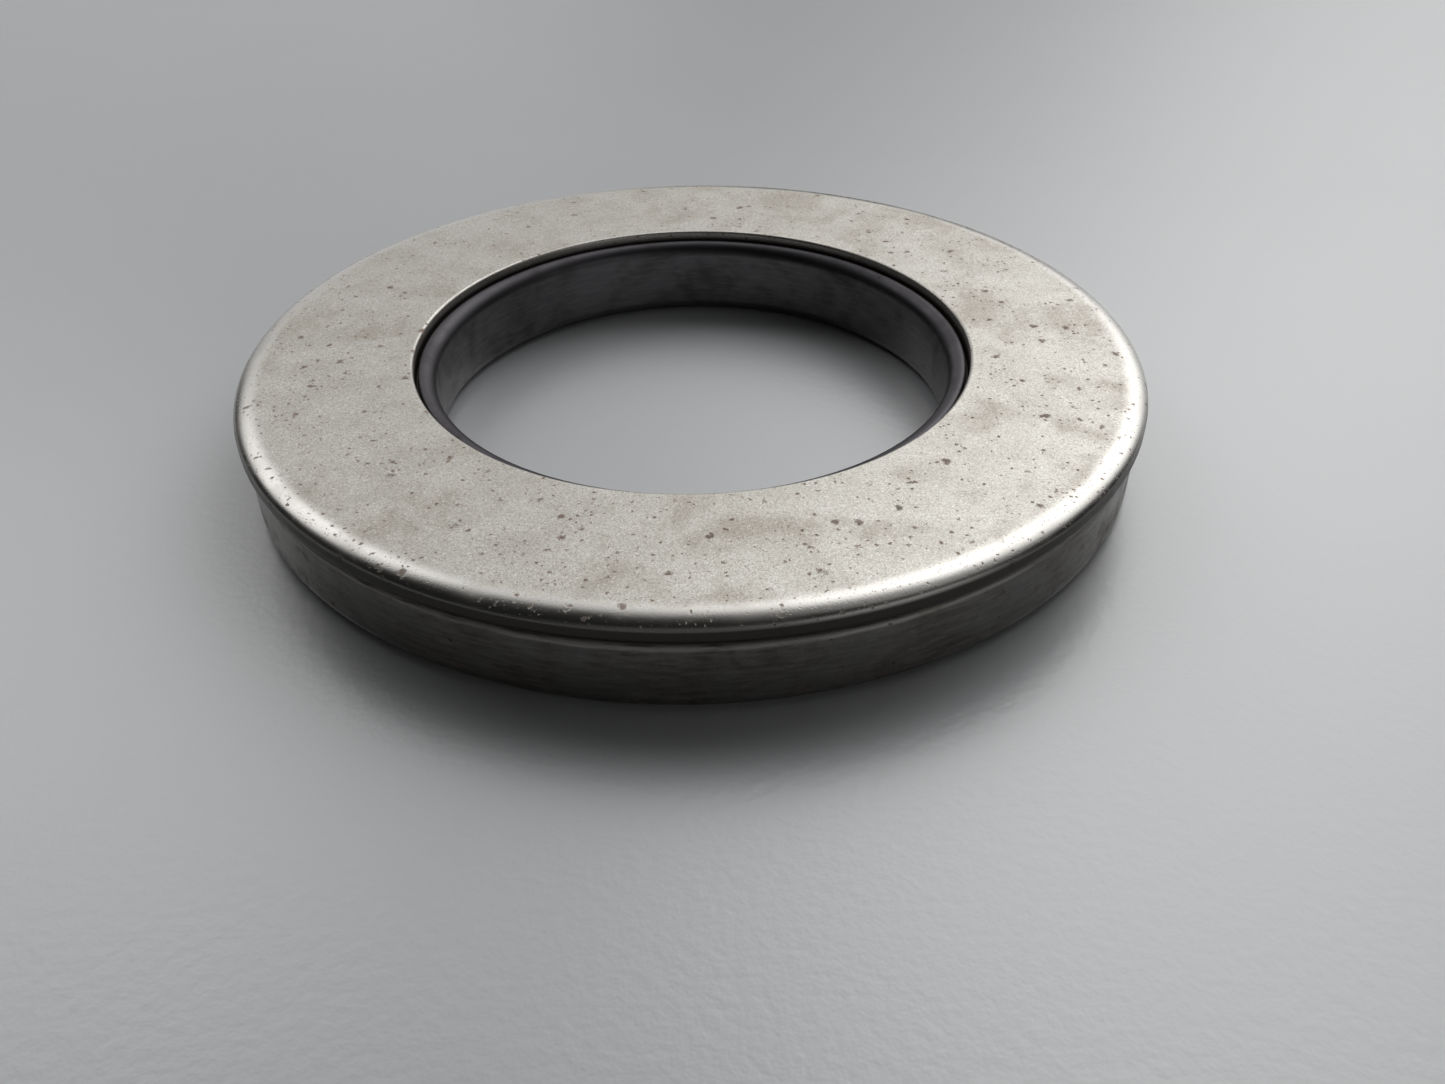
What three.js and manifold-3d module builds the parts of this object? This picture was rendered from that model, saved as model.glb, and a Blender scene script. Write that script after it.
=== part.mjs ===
// Enclosed thrust ball bearing, modelled in millimetres with +Z along its axis.
// The origin is the centre of the lower washer's bottom face, which the bearing rests on.
//
// Two steel washers with ball grooves face each other, with a ring of caged balls between them.
// An outer band is curled under the lower washer and reaches up beneath the upper washer's rim.
// An inner sleeve passes through both washers like an eyelet. Its flared top end sits in a
// counterbore of the upper washer, so the stack stays together and the upper washer turns freely.

import * as THREE from 'three';
import { mergeVertices } from 'three/addons/utils/BufferGeometryUtils.js';
import Module from 'manifold-3d';

const wasm = await Module();
wasm.setup();

// Overall sizes.
const outerDiameter = 60.325;
const boreDiameter = 34.925;

// Balls and cage.
const ballDiameter = 3.175;
const ballCount = 30;
const cageRim = 0.85;

// Washers. Each groove is an arc a little wider than the ball.
const upperThickness = 2.1;
const lowerThickness = 1.765;
const grooveDepth = 0.375;
const grooveOversize = 0.08;
const lipRounding = 0.2;

// The upper washer's rim: a broad elliptical shoulder, a short straight wall, a lower rounding.
const shoulderWidth = 1.5;
const shoulderHeight = 0.7;
const rimWall = 0.45;
const rimRounding = 0.4;
const rimOverhang = 0.3;

// Sheet steel pieces. Each bend is given by its outside radius.
const bandThickness = 0.6;
const bandBend = 0.9;
const bandCurl = 2.0;
const sleeveThickness = 0.5;
const sleeveBend = 0.9;
const sleeveFlange = 1.1;
const flareRecess = 0.6;

// Clearances.
const raceClearance = 0.03;
const pocketClearance = 0.15;
const cageClearance = 0.5;
const runningClearance = 0.2;
const registerClearance = 0.3;
const bandGap = 0.3;
const seatClearance = 0.1;
const footClearance = 0.1;

// Radii and heights that follow from the sizes above.
const outerRadius = outerDiameter / 2;
const boreRadius = boreDiameter / 2;
const ballRadius = ballDiameter / 2;
const grooveRadius = ballRadius + grooveOversize;
const raceSpacing = ballDiameter - 2 * (grooveDepth - raceClearance);
const totalHeight = lowerThickness + raceSpacing + upperThickness;
const ballHeight = lowerThickness + raceSpacing / 2;
const cageThickness = raceSpacing - 2 * cageClearance;
const bandRadius = outerRadius - rimOverhang;
const bandInside = bandRadius - bandThickness;
const sleeveOutside = boreRadius + sleeveThickness;
const pitchRadius = (sleeveOutside + bandInside) / 2;
const flareRadius = boreRadius + sleeveBend + sleeveThickness / 2;
const rimUnderside = totalHeight - shoulderHeight - rimWall - rimRounding;

// Facets: every ring has the same number, so that nested walls stay parallel.
const ringSegments = 72;
const pocketSegments = 12;
const ballDetail = 2;
const grooveSteps = 6;
const broadSteps = 5;
const roundSteps = 3;
const smallSteps = 2;

const quarterTurn = Math.PI / 2;

// Points (radius, height) along an elliptical arc, angles in radians from the outward direction.
function ellipticalArc(radius, height, width, rise, from, to, steps) {
  return Array.from({ length: steps + 1 }, (_, i) => {
    const angle = from + (to - from) * i / steps;
    return [radius + width * Math.cos(angle), height + rise * Math.sin(angle)];
  });
}

function arc(radius, height, size, from, to, steps) {
  return ellipticalArc(radius, height, size, size, from, to, steps);
}

// One stretch of a bent sheet's middle line: points with the unit normal on the left of travel.
function bend(radius, height, bendRadius, from, to, steps) {
  const side = Math.sign(from - to);
  return arc(0, 0, 1, from, to, steps).map(([x, y]) => ({
    at: [radius + bendRadius * x, height + bendRadius * y],
    normal: [side * x, side * y],
  }));
}

// The closed outline of a sheet with rounded edges, from its middle line.
function sheetOutline(middle, thickness) {
  const half = thickness / 2;
  const shifted = (point, distance) => point.at.map((value, i) => value + distance * point.normal[i]);
  const roundedEdge = ({ at, normal }, sign) => {
    const start = Math.atan2(sign * normal[1], sign * normal[0]);
    return arc(...at, half, start, start + Math.PI, smallSteps).slice(1, -1);
  };
  const last = middle[middle.length - 1];
  return [
    ...middle.map((point) => shifted(point, -half)),
    ...roundedEdge(last, -1),
    ...[...middle].reverse().map((point) => shifted(point, half)),
    ...roundedEdge(middle[0], 1),
  ];
}

// The groove's arc across a face: radius runs outwards for the upper race, inwards for the lower.
function grooveArc(faceHeight, upward) {
  const side = upward ? 1 : -1;
  const spread = Math.acos(1 - grooveDepth / grooveRadius);
  const centre = faceHeight + side * (grooveDepth - grooveRadius);
  const middle = side * quarterTurn;
  return arc(pitchRadius, centre, grooveRadius, middle + spread, middle - spread, grooveSteps);
}

// A solid of revolution about Z from a closed outline that runs anticlockwise.
function turnedRing(outline) {
  const points = [...outline, outline[0]].map(([radius, height]) => new THREE.Vector2(radius, height));
  const geometry = new THREE.LatheGeometry(points, ringSegments);
  geometry.rotateX(quarterTurn);
  return geometry;
}

function steel(color, roughness) {
  return new THREE.MeshStandardMaterial({ color, roughness, metalness: 1 });
}

const washerSteel = () => steel(0xc4bfb4, 0.42);
const bandSteel = () => steel(0x6f6b68, 0.38);
const sleeveSteel = () => steel(0x5a575c, 0.35);
const ballSteel = () => steel(0xd2d4d8, 0.12);
const cagePolymer = () => new THREE.MeshStandardMaterial({ color: 0xcbbd92, roughness: 0.6, metalness: 0 });

const group = new THREE.Group();

function addPart(name, geometry, material) {
  const mesh = new THREE.Mesh(geometry, material);
  mesh.name = name;
  group.add(mesh);
  return mesh;
}

// The upper washer turns with the load. Its rim overhangs the band, and a step inside the rim
// registers inside the band's top edge. Its bore has a counterbore over a narrower neck.
function upperWasher() {
  const underside = totalHeight - upperThickness;
  const registerRadius = bandInside - registerClearance;
  const neckRadius = sleeveOutside + runningClearance;
  const lipRadius = flareRadius + runningClearance;
  const counterboreFloor = totalHeight - flareRecess - sleeveThickness - runningClearance;
  return turnedRing([
    [neckRadius, underside],
    ...grooveArc(underside, true),
    [registerRadius, underside],
    [registerRadius, rimUnderside],
    ...arc(outerRadius - rimRounding, rimUnderside + rimRounding, rimRounding, -quarterTurn, 0, roundSteps),
    ...ellipticalArc(
      outerRadius - shoulderWidth, totalHeight - shoulderHeight,
      shoulderWidth, shoulderHeight,
      0, quarterTurn, broadSteps,
    ).slice(1),
    ...arc(lipRadius + lipRounding, totalHeight - lipRounding, lipRounding, quarterTurn, Math.PI, smallSteps),
    [lipRadius, counterboreFloor],
    [neckRadius, counterboreFloor],
  ]);
}

// The lower washer is the fixed race. Its underside is stepped back at both edges, so that the
// band's curl and the sleeve's flange lie inside the height of its foot face.
function lowerWasher() {
  const bandBendCentre = bandRadius - bandBend;
  const cornerRadius = bandBend - bandThickness - seatClearance;
  const cornerHeight = footClearance + bandBend;
  const cornerTop = Math.asin(Math.min(0, (lowerThickness - cornerHeight) / cornerRadius));
  const bandSeat = footClearance + bandThickness + seatClearance;
  const footOutside = bandBendCentre - bandCurl - seatClearance;
  const sleeveSeat = footClearance + sleeveThickness + seatClearance;
  const footInside = boreRadius + sleeveBend + sleeveFlange + seatClearance;
  const boreCorner = sleeveBend - sleeveThickness - seatClearance;
  const boreWall = sleeveOutside + seatClearance;
  return turnedRing([
    [footInside, 0],
    [footOutside, 0],
    [footOutside, bandSeat],
    ...arc(bandBendCentre, cornerHeight, cornerRadius, -quarterTurn, cornerTop, smallSteps),
    ...(lowerThickness > cornerHeight ? [[bandBendCentre + cornerRadius, lowerThickness]] : []),
    ...grooveArc(lowerThickness, false),
    [boreWall, lowerThickness],
    ...arc(boreWall + boreCorner, sleeveSeat + boreCorner, boreCorner, Math.PI, 3 * quarterTurn, smallSteps),
    [footInside, sleeveSeat],
  ]);
}

// The outer band is drawn from sheet: a straight wall with a rounded top edge, curled inwards
// under the lower washer.
function outerBand() {
  const half = bandThickness / 2;
  const wall = bandRadius - half;
  const top = rimUnderside - bandGap - half;
  const bendCentre = bandRadius - bandBend;
  const flangeHeight = footClearance + half;
  const middle = [
    { at: [wall, top], normal: [1, 0] },
    ...bend(bendCentre, footClearance + bandBend, bandBend - half, 0, -quarterTurn, broadSteps),
    { at: [bendCentre - bandCurl + half, flangeHeight], normal: [0, -1] },
  ];
  return turnedRing(sheetOutline(middle, bandThickness));
}

// The inner sleeve lines the bore. Its lower end is turned out under the lower washer, and its
// upper end is flared out into the upper washer's counterbore after assembly.
function innerSleeve() {
  const half = sleeveThickness / 2;
  const bendCentre = boreRadius + sleeveBend;
  const middleRadius = sleeveBend - half;
  const flareTop = totalHeight - flareRecess;
  const flangeEnd = bendCentre + sleeveFlange - half;
  const middle = [
    ...bend(bendCentre, flareTop - sleeveBend, middleRadius, quarterTurn, Math.PI, roundSteps),
    ...bend(bendCentre, footClearance + sleeveBend, middleRadius, Math.PI, 3 * quarterTurn, roundSteps),
    { at: [flangeEnd, footClearance + half], normal: [0, 1] },
  ];
  return turnedRing(sheetOutline(middle, sleeveThickness));
}

// A closed mesh with shared vertices becomes a solid that can be joined and cut.
function toSolid(geometry) {
  const bare = geometry.clone();
  bare.deleteAttribute('normal');
  bare.deleteAttribute('uv');
  const welded = mergeVertices(bare);
  return new wasm.Manifold(new wasm.Mesh({
    numProp: 3,
    vertProperties: new Float32Array(welded.attributes.position.array),
    triVerts: new Uint32Array(welded.index.array),
  }));
}

function toGeometry(solid) {
  const mesh = solid.getMesh();
  const geometry = new THREE.BufferGeometry();
  geometry.setAttribute('position', new THREE.BufferAttribute(mesh.vertProperties, 3));
  geometry.setIndex(new THREE.BufferAttribute(mesh.triVerts, 1));
  geometry.computeVertexNormals();
  return geometry;
}

// The direction of one ball's radius, in radians about Z.
const ballAngle = (index) => 2 * Math.PI * index / ballCount;

// The cage is a flat ring with one round pocket for each ball. The flats of the pocket's facets
// keep the pocket clearance to the ball.
function ballCage() {
  const pocketRadius = (ballRadius + pocketClearance) / Math.cos(Math.PI / pocketSegments);
  const halfWidth = ballRadius + pocketClearance + cageRim;
  const halfHeight = cageThickness / 2;
  const blank = toSolid(turnedRing([
    [pitchRadius - halfWidth, ballHeight - halfHeight],
    [pitchRadius + halfWidth, ballHeight - halfHeight],
    [pitchRadius + halfWidth, ballHeight + halfHeight],
    [pitchRadius - halfWidth, ballHeight + halfHeight],
  ]));
  const pockets = Array.from({ length: ballCount }, (_, i) => {
    const pocket = new THREE.CylinderGeometry(pocketRadius, pocketRadius, 2 * cageThickness, pocketSegments);
    pocket.rotateX(quarterTurn);
    pocket.translate(pitchRadius, 0, ballHeight);
    pocket.rotateZ(ballAngle(i));
    return toSolid(pocket);
  });
  return toGeometry(pockets.reduce((cage, pocket) => cage.subtract(pocket), blank));
}

addPart('lower_washer', lowerWasher(), washerSteel());
addPart('outer_band', outerBand(), bandSteel());
addPart('inner_sleeve', innerSleeve(), sleeveSteel());
addPart('upper_washer', upperWasher(), washerSteel());
addPart('ball_cage', ballCage(), cagePolymer());

for (let i = 0; i < ballCount; i += 1) {
  const name = `ball_${String(i + 1).padStart(2, '0')}`;
  const ball = addPart(name, new THREE.IcosahedronGeometry(ballRadius, ballDetail), ballSteel());
  ball.position.set(pitchRadius * Math.cos(ballAngle(i)), pitchRadius * Math.sin(ballAngle(i)), ballHeight);
  ball.rotation.z = ballAngle(i);
}

export default group;
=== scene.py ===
import math

import bmesh
import bpy
from mathutils import Matrix, Quaternion, Vector


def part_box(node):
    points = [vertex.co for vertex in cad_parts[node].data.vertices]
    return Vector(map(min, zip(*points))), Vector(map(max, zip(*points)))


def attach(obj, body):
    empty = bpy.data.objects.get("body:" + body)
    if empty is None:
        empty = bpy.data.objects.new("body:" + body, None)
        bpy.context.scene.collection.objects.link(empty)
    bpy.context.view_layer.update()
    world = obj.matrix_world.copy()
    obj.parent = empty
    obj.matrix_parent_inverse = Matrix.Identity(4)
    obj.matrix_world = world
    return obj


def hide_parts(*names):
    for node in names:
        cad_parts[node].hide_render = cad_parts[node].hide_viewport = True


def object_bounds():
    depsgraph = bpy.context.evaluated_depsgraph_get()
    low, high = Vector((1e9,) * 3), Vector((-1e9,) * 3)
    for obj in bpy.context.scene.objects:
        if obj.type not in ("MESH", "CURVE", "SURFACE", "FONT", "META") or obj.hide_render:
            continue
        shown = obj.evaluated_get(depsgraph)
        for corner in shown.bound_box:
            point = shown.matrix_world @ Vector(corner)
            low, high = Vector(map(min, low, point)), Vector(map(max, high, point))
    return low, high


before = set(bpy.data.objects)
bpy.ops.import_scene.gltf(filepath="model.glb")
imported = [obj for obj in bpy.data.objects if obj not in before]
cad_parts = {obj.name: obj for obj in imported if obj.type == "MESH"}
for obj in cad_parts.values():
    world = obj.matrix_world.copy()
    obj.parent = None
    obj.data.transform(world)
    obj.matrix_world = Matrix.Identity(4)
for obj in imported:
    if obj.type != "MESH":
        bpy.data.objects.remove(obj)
cad_low, cad_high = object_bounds()


# ---------------------------------------------------------------------------------------------
# Lower washer: the fixed race, a hardened steel ring turned and ground, with the ball groove in
# its upper face. Its underside is stepped back at both edges to leave room for the sheet pieces
# that are folded under it.

mm = 0.001
quarter_turn = math.pi / 2


def ring_reach(node):
    """Inner radius, outer radius, bottom and top of one CAD ring."""
    points = [vertex.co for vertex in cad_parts[node].data.vertices]
    radii = [math.hypot(point.x, point.y) for point in points]
    heights = [point.z for point in points]
    return min(radii), max(radii), min(heights), max(heights)


def arc(radius, height, width, rise, start, end, steps):
    """Points (radius, height) along part of an ellipse, with angles from the outward direction."""
    angles = [start + (end - start) * step / steps for step in range(steps + 1)]
    return [(radius + width * math.cos(a), height + rise * math.sin(a)) for a in angles]


def eased(outline, steps=4):
    """A corner written with a third value, its rounding, becomes a small curve of that size."""
    points = []
    for place, corner in enumerate(outline):
        spot = Vector(corner[:2])
        if len(corner) == 2:
            points.append(spot)
            continue
        before = Vector(outline[place - 1][:2])
        after = Vector(outline[(place + 1) % len(outline)][:2])
        start = spot + (before - spot).normalized() * corner[2]
        end = spot + (after - spot).normalized() * corner[2]
        shares = [step / steps for step in range(steps + 1)]
        points += [start.lerp(spot, s).lerp(spot.lerp(end, s), s) for s in shares]
    return points


def divided(points, longest=1.0 * mm, guard=0.05 * mm):
    """Adds points along the straight stretches, the end ones close to the corners."""
    result = []
    for place, start in enumerate(points):
        end = points[(place + 1) % len(points)]
        length = (end - start).length
        result.append(start)
        if length > 4 * guard:
            pieces = math.ceil(length / longest)
            near = guard / length
            span = 1 - 2 * near
            result += [start.lerp(end, near + span * i / pieces) for i in range(pieces + 1)]
    return result


def turned(name, outline, turns=240, waver=None):
    """A ring turned about Z from an anticlockwise outline. waver moves each point a little."""
    points = divided(eased(outline))
    ring = bmesh.new()
    rows = []
    for turn in range(turns):
        angle = 2 * math.pi * turn / turns
        row = []
        for radius, height in points:
            if waver:
                radius, height = waver(angle, radius, height)
            row.append(ring.verts.new((radius * math.cos(angle), radius * math.sin(angle), height)))
        rows.append(row)
    for turn, row in enumerate(rows):
        following = rows[(turn + 1) % turns]
        for place in range(len(points)):
            ahead = (place + 1) % len(points)
            ring.faces.new((row[place], following[place], following[ahead], row[ahead]))
    return finished_mesh(name, ring)


def finished_mesh(name, shape, crease=math.radians(32)):
    """A shaded object from a bmesh: smooth, with the edges past the crease angle left sharp."""
    mesh = bpy.data.meshes.new(name)
    shape.to_mesh(mesh)
    shape.free()
    mesh.shade_smooth()
    mesh.set_sharp_from_angle(angle=crease)
    made = bpy.data.objects.new(name, mesh)
    bpy.context.scene.collection.objects.link(made)
    return made


def feed(node, sockets):
    """Gives each socket of a node its value, or joins it to the output that feeds it."""
    for name, value in sockets.items():
        if isinstance(value, bpy.types.NodeSocket):
            node.id_data.links.new(value, node.inputs[name])
        else:
            node.inputs[name].default_value = value
    return node


def add_node(tree, kind, sockets=None, **settings):
    """Adds one shader node, with its settings and what goes into its sockets."""
    made = tree.nodes.new("ShaderNode" + kind)
    for name, value in settings.items():
        setattr(made, name, value)
    return feed(made, sockets or {})


def calculate(tree, operation, *values):
    """The result of one Math node."""
    return add_node(tree, "Math", dict(enumerate(values)), operation=operation).outputs[0]


def vectors(tree, operation, sockets, output="Vector"):
    """The result of one Vector Math node."""
    return add_node(tree, "VectorMath", sockets, operation=operation).outputs[output]


def blended(tree, factor, first, second):
    """One colour laid over another by a factor."""
    return add_node(tree, "Mix", {0: factor, 6: first, 7: second}, data_type="RGBA").outputs[2]


def layered(tree, colour, *layers):
    """A colour with others laid over it in turn, each through its own mask."""
    for mask, tint in layers:
        colour = blended(tree, mask, colour, tint)
    return colour


def summed(tree, total, *parts):
    """A starting value, with its share of each mask added to it."""
    for mask, share in parts:
        total = calculate(tree, "MULTIPLY_ADD", mask, share, total)
    return total


def fade(tree, value, start, end, low=0.0, high=1.0):
    """Goes smoothly from low to high as the value goes from start to end."""
    sockets = {"Value": value, "From Min": start, "From Max": end, "To Min": low, "To Max": high}
    return add_node(tree, "MapRange", sockets, interpolation_type="SMOOTHSTEP").outputs["Result"]


def new_group(name, inputs, outputs):
    """A node group with its sockets, and the outputs of its input node to build from."""
    tree = bpy.data.node_groups.new(name, "ShaderNodeTree")
    for label, start in inputs.items():
        kind = "NodeSocketVector" if start is None else "NodeSocketFloat"
        socket = tree.interface.new_socket(name=label, in_out="INPUT", socket_type=kind)
        if start is not None:
            socket.default_value = start
    for label, kind in outputs.items():
        tree.interface.new_socket(name=label, in_out="OUTPUT", socket_type="NodeSocket" + kind)
    return tree, tree.nodes.new("NodeGroupInput").outputs


def close_group(tree, results):
    """Joins a group's results to its output sockets."""
    ending = tree.nodes.new("NodeGroupOutput")
    for label, result in results.items():
        tree.links.new(result, ending.inputs[label])
    return tree


def place_group():
    """Where a point lies on the bearing, in millimetres, with no seam round the ring."""
    tree, _ = new_group("bearing_place", {}, {"Point": "Vector", "Radius": "Float", "Height": "Float"})
    coordinates = add_node(tree, "TexCoord").outputs["Object"]
    point = vectors(tree, "SCALE", {0: coordinates, "Scale": 1 / mm})
    parts = add_node(tree, "SeparateXYZ", {0: point}).outputs
    flat = add_node(tree, "CombineXYZ", {0: parts[0], 1: parts[1]}).outputs[0]
    radius = vectors(tree, "LENGTH", {0: flat}, "Value")
    return close_group(tree, {"Point": point, "Radius": radius, "Height": parts[2]})


def turning_group():
    """Fine lines that run round the ring, as a lathe, a grinder or a drawing die leaves them."""
    inputs = {"Point": None, "Radius": 20.0, "Height": 1.0, "Spacing": 0.2, "Run": 4.0}
    tree, given = new_group("turning_lines", inputs, {"Lines": "Float"})
    across = calculate(tree, "MULTIPLY_ADD", given["Height"], -0.83, given["Radius"])
    across = calculate(tree, "DIVIDE", across, given["Spacing"])
    around = vectors(tree, "MULTIPLY", {0: given["Point"], 1: (1, 1, 0)})
    around = vectors(tree, "NORMALIZE", {0: around})
    around = vectors(tree, "SCALE", {0: around, "Scale": given["Run"]})
    sockets = {"Vector": around, "W": across, "Scale": 1.0, "Detail": 2.0, "Roughness": 0.6}
    lines = add_node(tree, "TexNoise", sockets, noise_dimensions="4D").outputs[0]
    return close_group(tree, {"Lines": lines})


def grain_group():
    """The fine matt grain of tumbled or worn steel, and a mask of painted glints: bright specks that stand
    for light sparkling off the grain.
    """
    tree, given = new_group("fine_grain", {"Point": None, "Size": 0.1}, {"Grain": "Float", "Painted Glint": "Float"})
    scale = calculate(tree, "DIVIDE", 1.0, given["Size"])
    sockets = {"Vector": given["Point"], "Scale": scale, "Detail": 2.0, "Roughness": 0.6}
    grain = add_node(tree, "TexNoise", sockets).outputs[0]
    coarse = calculate(tree, "MULTIPLY", scale, 0.7)
    sockets = {"Vector": given["Point"], "Scale": coarse, "Detail": 3.0, "Roughness": 0.7}
    sparkle = add_node(tree, "TexNoise", sockets).outputs[0]
    return close_group(tree, {"Grain": grain, "Painted Glint": fade(tree, sparkle, 0.52, 0.72)})


def pits_group():
    """Scattered rust pits. Each cell of the pattern may hold one pit, of its own size and tone."""
    inputs = {"Point": None, "Spacing": 1.0, "Size": 0.2, "Share": 0.3, "Shift": 0.0}
    tree, given = new_group("rust_pits", inputs, {"Pits": "Float", "Tone": "Float"})
    ragged = calculate(tree, "DIVIDE", 0.8, given["Size"])
    sockets = {"Vector": given["Point"], "Scale": ragged, "Detail": 3.0, "Roughness": 0.7}
    wander = add_node(tree, "TexNoise", sockets).outputs["Color"]
    wander = vectors(tree, "SUBTRACT", {0: wander, 1: (0.5, 0.5, 0.5)})
    stray = calculate(tree, "MULTIPLY", given["Size"], 2.4)
    wander = vectors(tree, "SCALE", {0: wander, "Scale": stray})
    point = vectors(tree, "ADD", {0: given["Point"], 1: wander})
    scale = calculate(tree, "DIVIDE", 1.0, given["Spacing"])
    point = vectors(tree, "SCALE", {0: point, "Scale": scale})
    point = vectors(tree, "ADD", {0: point, 1: given["Shift"]})
    cells = add_node(tree, "TexVoronoi", {"Vector": point, "Scale": 1.0}, feature="F1").outputs
    chance = add_node(tree, "SeparateColor", {0: cells["Color"]}).outputs
    growth = summed(tree, 0.25, (calculate(tree, "POWER", chance[0], 2.0), 0.75))
    reach = calculate(tree, "MULTIPLY", calculate(tree, "MULTIPLY", growth, given["Size"]), scale)
    core = calculate(tree, "MULTIPLY", reach, 0.35)
    pits = fade(tree, cells["Distance"], reach, core)
    present = calculate(tree, "LESS_THAN", chance[1], given["Share"])
    return close_group(tree, {"Pits": calculate(tree, "MULTIPLY", pits, present), "Tone": chance[2]})


def stain_group():
    """Broad soft discolouration, from 0 where the metal is clean to 1 where it is stained."""
    inputs = {"Point": None, "Size": 6.0, "Start": 0.5, "End": 0.7}
    tree, given = new_group("old_stain", inputs, {"Stain": "Float"})
    scale = calculate(tree, "DIVIDE", 1.0, given["Size"])
    sockets = {"Vector": given["Point"], "Scale": scale, "Detail": 5.0, "Roughness": 0.62, "Distortion": 0.4}
    cloud = add_node(tree, "TexNoise", sockets).outputs[0]
    return close_group(tree, {"Stain": fade(tree, cloud, given["Start"], given["End"])})


bearing_place = place_group()
turning_lines = turning_group()
fine_grain = grain_group()
rust_pits = pits_group()
old_stain = stain_group()


def add_group(tree, group, **sockets):
    """Places a node group in a material with its own values."""
    made = tree.nodes.new("ShaderNodeGroup")
    made.node_tree = group
    return feed(made, sockets).outputs


def lines_round(tree, place, spacing, run):
    """The turning lines of one finish, with their own spacing and length."""
    where = {label: place[label] for label in ("Point", "Radius", "Height")}
    return add_group(tree, turning_lines, Spacing=spacing, Run=run, **where)["Lines"]


def new_finish(name):
    """A new material: its node tree, its Principled shader and the place on its piece."""
    material = bpy.data.materials.new(name)
    material.use_nodes = True
    tree = material.node_tree
    return material, tree, tree.nodes["Principled BSDF"], add_group(tree, bearing_place)


def join_surface(tree, shader, colour, roughness, metallic, height):
    """Joins the colour, roughness, metal and relief, a height in millimetres, to a shader."""
    bump = add_node(tree, "Bump", {"Height": height, "Strength": 1.0, "Distance": mm}).outputs[0]
    feed(shader, {"Base Color": colour, "Roughness": roughness, "Metallic": metallic, "Normal": bump})


def ground_steel():
    """Ground bearing steel with concentric lines, a little grey tarnish and small rust specks."""
    ground = (0.64, 0.63, 0.60, 1)
    tarnished = (0.42, 0.40, 0.36, 1)
    in_the_lines = (0.36, 0.35, 0.33, 1)
    old_rust = (0.10, 0.065, 0.04, 1)
    new_rust = (0.24, 0.13, 0.07, 1)
    material, tree, shader, place = new_finish("ground_washer_steel")
    point = place["Point"]
    lines = lines_round(tree, place, spacing=0.09, run=9.0)
    grain = add_group(tree, fine_grain, Point=point, Size=0.12)["Grain"]
    tarnish = add_group(tree, old_stain, Point=point, Size=7.0, Start=0.42, End=0.75)["Stain"]
    specks = add_group(tree, rust_pits, Point=point, Spacing=1.6, Size=0.22, Share=0.35)
    pits = specks["Pits"]
    rust = blended(tree, specks["Tone"], old_rust, new_rust)
    shaded = fade(tree, lines, 0.35, 0.65, high=0.35)
    colour = layered(tree, ground, (tarnish, tarnished), (shaded, in_the_lines), (pits, rust))
    roughness = summed(tree, 0.20, (lines, 0.22), (pits, 0.35))
    metallic = summed(tree, 1.0, (pits, -0.7))
    height = summed(tree, 0.0, (lines, 0.006), (grain, 0.002), (pits, -0.012))
    join_surface(tree, shader, colour, roughness, metallic, height)
    return material


ball_middle = sum(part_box("ball_01"), Vector()) / 2
pitch_radius = math.hypot(ball_middle.x, ball_middle.y)
ball_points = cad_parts["ball_01"].data.vertices
ball_radius = max((vertex.co - ball_middle).length for vertex in ball_points)

groove_depth = 0.375 * mm
groove_radius = ball_radius + 0.08 * mm


def groove(face, side):
    """The arc of a ball groove in a face. side is 1 for a groove cut upwards, -1 for downwards."""
    spread = math.acos(1 - groove_depth / groove_radius)
    middle = side * quarter_turn
    centre = face + side * (groove_depth - groove_radius)
    return arc(pitch_radius, centre, groove_radius, groove_radius, middle + spread, middle - spread, 16)


lower_inside, lower_outside, lower_bottom, lower_top = ring_reach("lower_washer")
sleeve_bore, sleeve_reach, sleeve_bottom, sleeve_top = ring_reach("inner_sleeve")
band_curl_end, band_outside, band_bottom, band_top = ring_reach("outer_band")

broken_edge = 0.12 * mm
seat_clearance = 0.1 * mm
band_sheet = 0.6 * mm
band_bend = 0.9 * mm
sleeve_sheet = 0.5 * mm
sleeve_bend = 0.9 * mm

band_seat = band_bottom + band_sheet + seat_clearance
sleeve_seat = sleeve_bottom + sleeve_sheet + seat_clearance
foot_outside = band_curl_end - seat_clearance
foot_inside = sleeve_reach + seat_clearance
corner_size = band_bend - band_sheet - seat_clearance
corner_centre = band_outside - band_bend
corner_height = band_bottom + band_bend
bore_corner = sleeve_bend - sleeve_sheet - seat_clearance

lower_washer = turned("lower_washer_ground", [
    (foot_inside, lower_bottom, broken_edge),
    (foot_outside, lower_bottom, broken_edge),
    (foot_outside, band_seat),
    *arc(corner_centre, corner_height, corner_size, corner_size, -quarter_turn, 0, 8),
    (lower_outside, lower_top, broken_edge),
    *groove(lower_top, -1),
    (lower_inside, lower_top, broken_edge),
    (lower_inside, sleeve_seat, bore_corner),
    (foot_inside, sleeve_seat),
])
lower_washer.data.materials.append(ground_steel())
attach(lower_washer, "lower_assembly")
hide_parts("lower_washer")


# ---------------------------------------------------------------------------------------------
# Outer band: a strip of mild steel sheet drawn into a cup wall. Its lower edge is spun in under
# the lower washer, and its straight wall reaches up beneath the rim of the upper washer.


def sheet_outline(middle, thickness):
    """The closed outline of a sheet with rounded edges, from (radius, height, side) points."""
    half = thickness / 2
    edge_steps = 8

    def beside(radius, height, side, distance):
        return radius + distance * math.cos(side), height + distance * math.sin(side)

    def round_edge(radius, height, side):
        return arc(radius, height, half, half, side, side + math.pi, edge_steps)[1:-1]

    near_side = [beside(*point, -half) for point in middle]
    far_side = [beside(*point, half) for point in reversed(middle)]
    radius, height, side = middle[-1]
    return near_side + round_edge(radius, height, side + math.pi) + far_side + round_edge(*middle[0])


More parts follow.
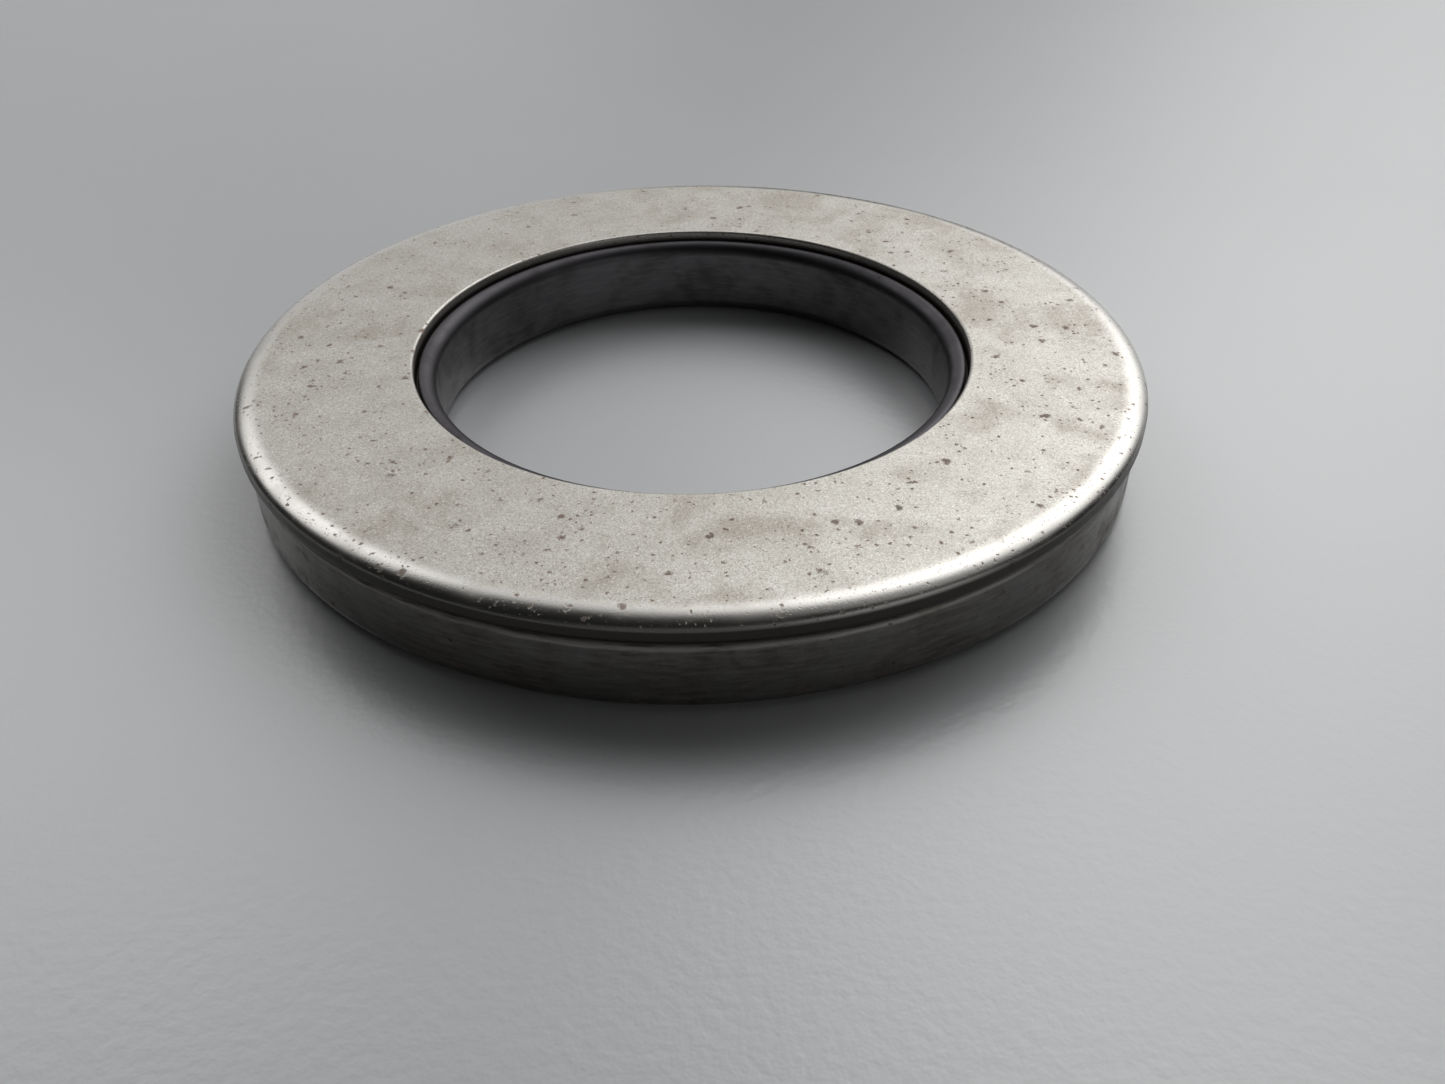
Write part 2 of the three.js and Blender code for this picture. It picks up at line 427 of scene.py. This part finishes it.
def sheet_bend(radius, height, size, start, end, steps):
    """A bend in a sheet's middle line. The side is the direction on the left of travel."""
    angles = [start + (end - start) * step / steps for step in range(steps + 1)]
    flip = 0 if start > end else math.pi
    return [(radius + size * math.cos(a), height + size * math.sin(a), a + flip) for a in angles]


def drawn_steel():
    """Drawn sheet steel, dark with age: rub lines along the band, brown mottling, and a top edge made pale,
    partly as wear and partly as a painted highlight.
    """
    drawn = (0.21, 0.203, 0.195, 1)
    mottled = (0.13, 0.112, 0.094, 1)
    brown = (0.10, 0.068, 0.045, 1)
    rubbed = (0.30, 0.29, 0.275, 1)
    scuffed = (0.40, 0.385, 0.36, 1)
    edge_wear_and_highlight = (0.70, 0.67, 0.62, 1)
    old_rust = (0.055, 0.038, 0.028, 1)
    new_rust = (0.17, 0.09, 0.05, 1)
    material, tree, shader, place = new_finish("drawn_band_steel")
    point = place["Point"]
    lines = lines_round(tree, place, spacing=0.22, run=14.0)
    scuffs = lines_round(tree, place, spacing=0.07, run=60.0)
    grain = add_group(tree, fine_grain, Point=point, Size=0.14)["Grain"]
    mottle = add_group(tree, old_stain, Point=point, Size=4.5, Start=0.40, End=0.72)["Stain"]
    bloom = add_group(tree, old_stain, Point=point, Size=1.3, Start=0.50, End=0.72)["Stain"]
    specks = add_group(tree, rust_pits, Point=point, Spacing=1.1, Size=0.24, Share=0.4, Shift=3.7)
    pits = specks["Pits"]
    rust = blended(tree, specks["Tone"], old_rust, new_rust)
    # Partly wear, partly painted highlight: the band's top edge is made pale and less metallic. It then
    # shows as a light line under the upper washer's rim, as light caught on the rounded edge would.
    edge = fade(tree, place["Height"], band_top / mm - 0.32, band_top / mm - 0.05, high=0.8)
    edge = calculate(tree, "MULTIPLY", edge, fade(tree, lines, 0.3, 0.5, low=0.4))
    colour = layered(
        tree, drawn,
        (mottle, mottled),
        (fade(tree, bloom, 0.0, 1.0, high=0.55), brown),
        (fade(tree, lines, 0.38, 0.66, high=0.5), rubbed),
        (fade(tree, scuffs, 0.60, 0.72, high=0.5), scuffed),
        (edge, edge_wear_and_highlight),
        (pits, rust),
    )
    roughness = summed(tree, 0.30, (mottle, 0.14), (bloom, 0.14), (pits, 0.25), (edge, 0.25))
    dulled = calculate(tree, "MAXIMUM", pits, calculate(tree, "MULTIPLY", bloom, 0.4))
    dulled = calculate(tree, "MAXIMUM", dulled, calculate(tree, "MULTIPLY", edge, 0.9))
    metallic = summed(tree, 1.0, (dulled, -0.7))
    height = summed(tree, 0.0, (lines, 0.012), (scuffs, 0.003), (grain, 0.003), (pits, -0.015))
    join_surface(tree, shader, colour, roughness, metallic, height)
    return material


def wave(angle, size, count, start):
    """A wave that runs round the ring, with a whole number of crests."""
    return size * math.sin(count * angle + start)


def band_waver(angle, radius, height):
    """Drawn sheet is never quite true: the wall bows by a few hundredths of a millimetre, and the
    spun edge under the washer is faintly rippled."""
    bow = wave(angle, 0.025 * mm, 3, 0.6) + wave(angle, 0.014 * mm, 8, 2.0)
    spun = max(0.0, min(1.0, (corner_centre - radius) / (corner_centre - band_curl_end)))
    ripple = wave(angle, 0.035 * mm, 46, 0.0) * spun
    dip = wave(angle, 0.018 * mm, 7, 1.1) * (height / band_top) ** 2
    return radius + bow * (1 - spun) + ripple, height + dip


half_band = band_sheet / 2
outer_band = turned("outer_band_drawn", sheet_outline([
    (band_outside - half_band, band_top - half_band, 0.0),
    *sheet_bend(corner_centre, corner_height, band_bend - half_band, 0.0, -quarter_turn, 18),
    (band_curl_end + half_band, band_bottom + half_band, -quarter_turn),
], band_sheet), turns=288, waver=band_waver)
outer_band.data.materials.append(drawn_steel())
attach(outer_band, "lower_assembly")
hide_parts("outer_band")


# ---------------------------------------------------------------------------------------------
# Ball cage: a flat ring of moulded nylon, the colour of ivory, with a round pocket for each ball.
# The pocket walls follow the ball, so that each one snaps in and is carried round.

ball_names = sorted(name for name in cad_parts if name.startswith("ball_") and name != "ball_cage")
ball_count = len(ball_names)
sector = 2 * math.pi / ball_count
cage_inside, cage_outside, cage_bottom, cage_top = ring_reach("ball_cage")
pocket_gap = 0.15 * mm
cage_rounding = 0.13 * mm


def pocket_wall(angle, height):
    """A point on a pocket's wall, about the ball's centre: a zone of a sphere."""
    drop = height - ball_middle.z
    size = math.sqrt((ball_radius + pocket_gap) ** 2 - drop ** 2)
    return Vector((pitch_radius + size * math.cos(angle), size * math.sin(angle), height))


def sector_edge(angle, height):
    """The point on a sector's outline that lies in one direction from the ball's centre."""
    half = math.tan(sector / 2)
    side = math.cos(angle), math.sin(angle)
    reaches = []
    for radius in (cage_inside, cage_outside):
        inner = pitch_radius * side[0]
        root = inner * inner - pitch_radius ** 2 + radius ** 2
        if root >= 0:
            reaches += [-inner - math.sqrt(root), -inner + math.sqrt(root)]
    for slope in (half, -half):
        steep = side[1] - slope * side[0]
        if abs(steep) > 1e-9:
            reaches.append(slope * pitch_radius / steep)
    reach = min(r for r in reaches if r > 1e-9)
    return Vector((pitch_radius + reach * side[0], reach * side[1], height))


def pocket_directions(steps=9):
    """Directions round a pocket, with one at each corner of the sector outline."""
    corners = []
    for radius, side in ((cage_outside, -1), (cage_outside, 1), (cage_inside, 1), (cage_inside, -1)):
        along = radius * math.cos(sector / 2) - pitch_radius
        corners.append(math.atan2(side * radius * math.sin(sector / 2), along) % (2 * math.pi))
    corners.sort()
    directions = []
    for place, corner in enumerate(corners):
        width = (corners[(place + 1) % len(corners)] - corner) % (2 * math.pi)
        directions += [corner + width * step / steps for step in range(steps)]
    return directions


def cage_sector(shape, turn):
    """One ball's share of the cage: pocket wall, upper and lower face, inner and outer rim."""
    directions = pocket_directions()
    levels = [cage_bottom + (cage_top - cage_bottom) * step / 4 for step in range(5)]
    loops = [[pocket_wall(a, z) for a in directions] for z in levels]
    for share in (0.5, 1.0):
        loops.append([pocket_wall(a, cage_top).lerp(sector_edge(a, cage_top), share) for a in directions])
    rim = [[sector_edge(a, z) for a in directions] for z in reversed(levels)]
    loops += rim[1:]
    below = [pocket_wall(a, cage_bottom).lerp(sector_edge(a, cage_bottom), 0.5) for a in directions]
    loops.append(below)
    turning = Matrix.Rotation(turn, 3, "Z")
    rows = [[shape.verts.new(turning @ point) for point in loop] for loop in loops]
    spread = len(directions)
    for level, row in enumerate(rows):
        following = rows[(level + 1) % len(rows)]
        for place in range(spread):
            ahead = (place + 1) % spread
            corners = [row[place], following[place], following[ahead], row[ahead]]
            middle = turning.inverted() @ (sum((c.co for c in corners), Vector()) / 4)
            on_cut = abs(abs(math.atan2(middle.y, middle.x)) - sector / 2) < 1e-4
            if not on_cut:
                shape.faces.new(corners)


def moulded_nylon():
    """Natural nylon: ivory, slightly waxy, with a fine moulded grain and traces of dark grease."""
    ivory = (0.72, 0.63, 0.42, 1)
    aged_ivory = (0.60, 0.49, 0.29, 1)
    dark_grease = (0.20, 0.15, 0.09, 1)
    material, tree, shader, place = new_finish("moulded_cage_nylon")
    point = place["Point"]
    grain = add_group(tree, fine_grain, Point=point, Size=0.09)["Grain"]
    cloud = add_group(tree, old_stain, Point=point, Size=3.0, Start=0.35, End=0.75)["Stain"]
    grease = add_group(tree, old_stain, Point=point, Size=1.4, Start=0.58, End=0.72)["Stain"]
    film = fade(tree, grease, 0.0, 1.0, high=0.5)
    colour = layered(tree, ivory, (cloud, aged_ivory), (film, dark_grease))
    roughness = summed(tree, 0.52, (grease, -0.20))
    height = summed(tree, 0.0, (grain, 0.004))
    join_surface(tree, shader, colour, roughness, 0.0, height)
    shader.inputs["Subsurface Weight"].default_value = 0.12
    shader.inputs["Subsurface Scale"].default_value = 0.4 * mm
    return material


cage_shape = bmesh.new()
for number in range(ball_count):
    cage_sector(cage_shape, number * sector)
bmesh.ops.remove_doubles(cage_shape, verts=cage_shape.verts, dist=0.002 * mm)
bmesh.ops.recalc_face_normals(cage_shape, faces=cage_shape.faces)
ball_cage = finished_mesh("ball_cage_moulded", cage_shape)
softened = ball_cage.modifiers.new("rounded edges", "BEVEL")
softened.width = cage_rounding
softened.segments = 3
softened.limit_method = "ANGLE"
softened.angle_limit = math.radians(50)
ball_cage.data.materials.append(moulded_nylon())
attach(ball_cage, "cage")
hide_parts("ball_cage")


# ---------------------------------------------------------------------------------------------
# Balls: lapped chrome steel, bright, each with a faint dulled track where it has run between the
# grooves. They drop into the cage and roll as the upper washer turns.


def lapped_steel():
    """Polished ball steel with a faint running track and the finest haze of scratches."""
    polished = (0.80, 0.81, 0.82, 1)
    hazed = (0.66, 0.66, 0.65, 1)
    run_dull = (0.52, 0.51, 0.49, 1)
    material, tree, shader, place = new_finish("lapped_ball_steel")
    point = place["Point"]
    across = add_node(tree, "SeparateXYZ", {0: point}).outputs[0]
    track = fade(tree, calculate(tree, "ABSOLUTE", across), 0.42, 0.12)
    haze = add_group(tree, old_stain, Point=point, Size=0.8, Start=0.4, End=0.8)["Stain"]
    grain = add_group(tree, fine_grain, Point=point, Size=0.06)["Grain"]
    colour = layered(tree, polished, (haze, hazed), (fade(tree, track, 0.0, 1.0, high=0.6), run_dull))
    roughness = summed(tree, 0.07, (track, 0.12), (haze, 0.05))
    height = summed(tree, 0.0, (grain, 0.0004))
    join_surface(tree, shader, colour, roughness, 1.0, height)
    return material


ball_shape = bmesh.new()
bmesh.ops.create_cube(ball_shape, size=1.0)
bmesh.ops.subdivide_edges(ball_shape, edges=ball_shape.edges, cuts=11, use_grid_fill=True)
for vertex in ball_shape.verts:
    even = Vector([math.tan(value * quarter_turn) for value in vertex.co])
    vertex.co = even.normalized() * ball_radius
first_ball = finished_mesh("ball_pattern", ball_shape, crease=math.pi)
first_ball.data.materials.append(lapped_steel())

for number, name in enumerate(ball_names):
    ball = bpy.data.objects.new(f"{name}_lapped", first_ball.data.copy())
    bpy.context.scene.collection.objects.link(ball)
    low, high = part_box(name)
    ball.location = (low + high) / 2
    ball.rotation_euler.z = number * sector
    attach(ball, name)
    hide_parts(name)
bpy.data.objects.remove(first_ball)


# ---------------------------------------------------------------------------------------------
# Upper washer: the turning race, hardened steel with a broad rounded shoulder round its rim. It
# is tumbled to a matt grey, then rubbed bright on the shoulder and pitted by rust with age.

upper_inside, upper_outside, upper_bottom, upper_top = ring_reach("upper_washer")
shoulder_width = 1.5 * mm
shoulder_height = 0.7 * mm
rim_wall = 0.45 * mm
rim_rounding = 0.4 * mm
lip_rounding = 0.2 * mm
running_clearance = 0.2 * mm
register_clearance = 0.3 * mm
flare_recess = upper_top - sleeve_top

rim_underside = upper_top - shoulder_height - rim_wall - rim_rounding
register_radius = band_outside - band_sheet - register_clearance
lip_radius = sleeve_bore + sleeve_bend + sleeve_sheet / 2 + running_clearance
counterbore_floor = upper_top - flare_recess - sleeve_sheet - running_clearance


def tumbled_steel():
    """Matt tumbled steel with a fine grain, a rubbed bright shoulder, brown bloom and rust pits. Painted
    glints lie in the grain, and painted shade darkens the rim below the shoulder.
    """
    tumbled = (0.60, 0.583, 0.54, 1)
    clouded = (0.52, 0.50, 0.455, 1)
    brown = (0.40, 0.343, 0.277, 1)
    dark_grain = (0.30, 0.28, 0.24, 1)
    painted_glint = (0.88, 0.86, 0.82, 1)
    rubbed_bright = (0.64, 0.625, 0.60, 1)
    knocked_brown = (0.30, 0.19, 0.16, 1)
    painted_rim_shade = (0.062, 0.057, 0.052, 1)
    material, tree, shader, place = new_finish("tumbled_washer_steel")
    point = place["Point"]
    radius = place["Radius"]
    grain = add_group(tree, fine_grain, Point=point, Size=0.09)
    cloud = add_group(tree, old_stain, Point=point, Size=3.2, Start=0.36, End=0.68)["Stain"]
    bloom = add_group(tree, old_stain, Point=point, Size=6.0, Start=0.47, End=0.68)["Stain"]
    crowding = fade(tree, cloud, 0.0, 1.0, 0.24, 0.90)
    small = add_group(tree, rust_pits, Point=point, Spacing=0.38, Size=0.17, Share=crowding)
    larger = add_group(tree, rust_pits, Point=point, Spacing=1.15, Size=0.42, Share=crowding, Shift=5.3)
    dust = add_group(tree, rust_pits, Point=point, Spacing=0.22, Size=0.09, Share=0.55, Shift=9.1)["Pits"]
    nicks = add_group(tree, rust_pits, Point=point, Spacing=0.8, Size=0.16, Share=0.6, Shift=12.7)["Pits"]
    pale = blended(tree, small["Tone"], (0.22, 0.185, 0.11, 1), (0.34, 0.23, 0.18, 1))
    deep = blended(tree, larger["Tone"], (0.16, 0.135, 0.08, 1), (0.27, 0.17, 0.13, 1))

    shoulder = (upper_outside - shoulder_width) / mm
    rubbed = fade(tree, radius, shoulder - 0.3, shoulder + 0.6)
    lip = fade(tree, radius, lip_radius / mm + 0.45, lip_radius / mm + 0.1)
    rubbed = calculate(tree, "MAXIMUM", rubbed, calculate(tree, "MULTIPLY", lip, 0.2))
    from_ridge = calculate(tree, "ABSOLUTE", calculate(tree, "SUBTRACT", radius, shoulder + 0.3))
    knocked = calculate(tree, "MULTIPLY", nicks, fade(tree, from_ridge, 0.6, 0.3))
    # Painted shade: the rim below the shoulder's equator is darkened almost to black. It stands for the dark
    # reflection of the shadowed floor in front.
    equator = (upper_top - shoulder_height) / mm
    rolled = fade(tree, place["Height"], equator + 0.32, equator - 0.02)
    pits = calculate(tree, "MAXIMUM", small["Pits"], larger["Pits"])
    pits = calculate(tree, "MAXIMUM", pits, knocked)

    colour = layered(
        tree, tumbled,
        (cloud, clouded),
        (fade(tree, bloom, 0.0, 1.0, high=0.42), brown),
        (fade(tree, grain["Grain"], 0.34, 0.60, 0.62, 0.0), dark_grain),
        # Painted highlight: bright specks laid into the colour as glints of light off the grain.
        (fade(tree, grain["Painted Glint"], 0.0, 1.0, high=0.55), painted_glint),
        (calculate(tree, "MULTIPLY", rubbed, 0.7), rubbed_bright),
        (calculate(tree, "MULTIPLY", dust, 0.5), pale),
        (calculate(tree, "MULTIPLY", small["Pits"], 0.8), pale),
        (calculate(tree, "MULTIPLY", larger["Pits"], 0.68), deep),
        (calculate(tree, "MULTIPLY", knocked, 0.8), knocked_brown),
        (calculate(tree, "MULTIPLY", rolled, 0.97), painted_rim_shade),
    )
    roughness = summed(tree, 0.44, (rubbed, -0.19), (rolled, 0.13), (bloom, 0.08), (pits, 0.25))
    metallic = summed(tree, 1.0, (pits, -0.45))
    matt = summed(tree, 0.0095, (rubbed, -0.006))
    height = summed(tree, 0.0, (grain["Grain"], matt), (pits, -0.009), (dust, -0.004))
    join_surface(tree, shader, colour, roughness, metallic, height)
    return material


upper_washer = turned("upper_washer_tumbled", [
    (upper_inside, upper_bottom, broken_edge),
    *groove(upper_bottom, 1),
    (register_radius, upper_bottom, broken_edge),
    (register_radius, rim_underside, broken_edge),
    *arc(upper_outside - rim_rounding, rim_underside + rim_rounding,
         rim_rounding, rim_rounding, -quarter_turn, 0, 10),
    *arc(upper_outside - shoulder_width, upper_top - shoulder_height,
         shoulder_width, shoulder_height, 0, quarter_turn, 24)[1:],
    *arc(lip_radius + lip_rounding, upper_top - lip_rounding,
         lip_rounding, lip_rounding, quarter_turn, math.pi, 8),
    (lip_radius, counterbore_floor, broken_edge),
    (upper_inside, counterbore_floor, broken_edge),
], turns=288)
upper_washer.data.materials.append(tumbled_steel())
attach(upper_washer, "upper_race")
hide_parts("upper_washer")


# ---------------------------------------------------------------------------------------------
# Inner sleeve: a thin steel tube that lines the bore. Its flange is turned out under the lower
# washer, and its top is flared out into the upper washer's counterbore last, to close the stack.


def flared_steel():
    """Dark sheet steel, darkest on the flare, with faint drawing lines down the bore."""
    drawn = (0.17, 0.163, 0.170, 1)
    mottled = (0.11, 0.10, 0.097, 1)
    rubbed = (0.25, 0.24, 0.245, 1)
    flared_dark = (0.06, 0.056, 0.062, 1)
    old_rust = (0.05, 0.035, 0.03, 1)
    new_rust = (0.14, 0.08, 0.055, 1)
    material, tree, shader, place = new_finish("flared_sleeve_steel")
    point = place["Point"]
    lines = lines_round(tree, place, spacing=0.16, run=10.0)
    grain = add_group(tree, fine_grain, Point=point, Size=0.12)["Grain"]
    mottle = add_group(tree, old_stain, Point=point, Size=3.5, Start=0.42, End=0.72)["Stain"]
    specks = add_group(tree, rust_pits, Point=point, Spacing=1.3, Size=0.25, Share=0.35, Shift=7.9)
    pits = specks["Pits"]
    rust = blended(tree, specks["Tone"], old_rust, new_rust)
    flare = fade(tree, place["Height"], sleeve_top / mm - 1.0, sleeve_top / mm - 0.35)
    colour = layered(
        tree, drawn,
        (mottle, mottled),
        (fade(tree, lines, 0.40, 0.68, high=0.4), rubbed),
        (calculate(tree, "MULTIPLY", flare, 0.85), flared_dark),
        (pits, rust),
    )
    roughness = summed(tree, 0.36, (mottle, 0.12), (flare, 0.08), (pits, 0.25))
    metallic = summed(tree, 1.0, (pits, -0.7))
    height = summed(tree, 0.0, (lines, 0.008), (grain, 0.003), (pits, -0.012))
    join_surface(tree, shader, colour, roughness, metallic, height)
    return material


def sleeve_waver(angle, radius, height):
    """The flare is rolled over last, by a hand tool, which leaves it faintly uneven."""
    if height <= sleeve_seat:
        return radius, height
    rolled = max(0.0, radius - sleeve_bore - sleeve_sheet) / (sleeve_reach - sleeve_bore)
    return radius, height - 0.02 * mm * rolled * (1 + wave(angle, 1.0, 11, 0.4))


half_sleeve = sleeve_sheet / 2
sleeve_centre = sleeve_bore + sleeve_bend
sleeve_middle = sleeve_bend - half_sleeve
inner_sleeve = turned("inner_sleeve_flared", sheet_outline([
    *sheet_bend(sleeve_centre, sleeve_top - sleeve_bend, sleeve_middle, quarter_turn, math.pi, 14),
    *sheet_bend(sleeve_centre, sleeve_bottom + sleeve_bend, sleeve_middle, math.pi, 3 * quarter_turn, 14),
    (sleeve_reach - half_sleeve, sleeve_bottom + half_sleeve, 3 * quarter_turn + math.pi),
], sleeve_sheet), waver=sleeve_waver)
inner_sleeve.data.materials.append(flared_steel())
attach(inner_sleeve, "lower_assembly")
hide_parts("inner_sleeve")


# ---------------------------------------------------------------------------------------------
# Setting: a plain pale floor under the bearing. Soft studio light comes from behind it and from
# both sides, high and low, with little light from the camera's side.

floor_reach = 3.0
floor_gap = 0.01 * mm


def glossy_floor():
    """Pale grey paint with a soft gloss, a faint cloudiness and a fine grain."""
    pale = (0.61, 0.625, 0.64, 1)
    shaded = (0.58, 0.595, 0.61, 1)
    material, tree, shader, place = new_finish("pale_floor")
    point = place["Point"]
    cloud = add_group(tree, old_stain, Point=point, Size=60.0, Start=0.3, End=0.8)["Stain"]
    grain = add_group(tree, fine_grain, Point=point, Size=0.7)["Grain"]
    height = summed(tree, 0.0, (grain, 0.02))
    join_surface(tree, shader, blended(tree, cloud, pale, shaded), 0.34, 0.0, height)
    shader.inputs["IOR"].default_value = 2.3
    return material


floor_shape = bmesh.new()
bmesh.ops.create_grid(floor_shape, x_segments=2, y_segments=2, size=floor_reach)
floor = finished_mesh("floor", floor_shape)
floor.location.z = cad_low.z - floor_gap
floor.data.materials.append(glossy_floor())


def towards(azimuth, elevation):
    """A unit vector from an azimuth about Z and an elevation, both in degrees."""
    around, up = math.radians(azimuth), math.radians(elevation)
    return Vector((math.cos(around) * math.cos(up), math.sin(around) * math.cos(up), math.sin(up)))


# Each softbox: azimuth, elevation, the angles where it starts to fade and ends, and its brightness.
softboxes = {
    "back": (84, 44, 5, 36, 0.82),
    "right": (56, 40, 8, 33, 1.5),
    "high right": (18, 56, 5, 32, 0.32),
    "low back": (108, 5, 4, 24, 0.7),
    "low right": (50, 16, 5, 26, 0.75),
    "left": (133, 37, 5, 23, 1.6),
    "low front": (270, 10, 6, 42, 0.09),
    "low front right": (316, 15, 6, 32, 0.36),
}
room_light = 0.012
backdrop = (0.55, 0.56, 0.57, 1)

studio = bpy.data.worlds.new("soft_studio")
studio.use_nodes = True
bpy.context.scene.world = studio
sky = studio.node_tree
background = sky.nodes["Background"]
direction = add_node(sky, "TexCoord").outputs["Generated"]
glow = room_light
for azimuth, elevation, fade_start, fade_end, brightness in softboxes.values():
    facing = vectors(sky, "DOT_PRODUCT", {0: direction, 1: towards(azimuth, elevation)}, "Value")
    edges = math.cos(math.radians(fade_end)), math.cos(math.radians(fade_start))
    glow = calculate(sky, "ADD", glow, fade(sky, facing, *edges, 0.0, brightness))
seen = add_node(sky, "LightPath").outputs["Is Camera Ray"]
sky.links.new(blended(sky, seen, glow, backdrop), background.inputs["Color"])

bpy.context.scene.view_settings.view_transform = "Standard"

camera_side, camera_rise = -90, 26.97
camera_distance = 85.45 * mm
stand_back = towards(camera_side, camera_rise) * camera_distance
turn_right, tip_down, lean = 0.0208, 0.1642, 0.0197

lens = bpy.data.cameras.new("camera")
lens.lens = 30.65
lens.sensor_width = 36.0
lens.clip_start = 1 * mm
camera = bpy.data.objects.new("camera", lens)
bpy.context.scene.collection.objects.link(camera)
camera.location = Vector((0, 0, cad_high.z)) + stand_back
camera.rotation_mode = "QUATERNION"
camera.rotation_quaternion = (
    (-stand_back).to_track_quat("-Z", "Y")
    @ Quaternion((0, 1, 0), -turn_right)
    @ Quaternion((1, 0, 0), -tip_down)
    @ Quaternion((0, 0, 1), -lean)
)
bpy.context.scene.camera = camera
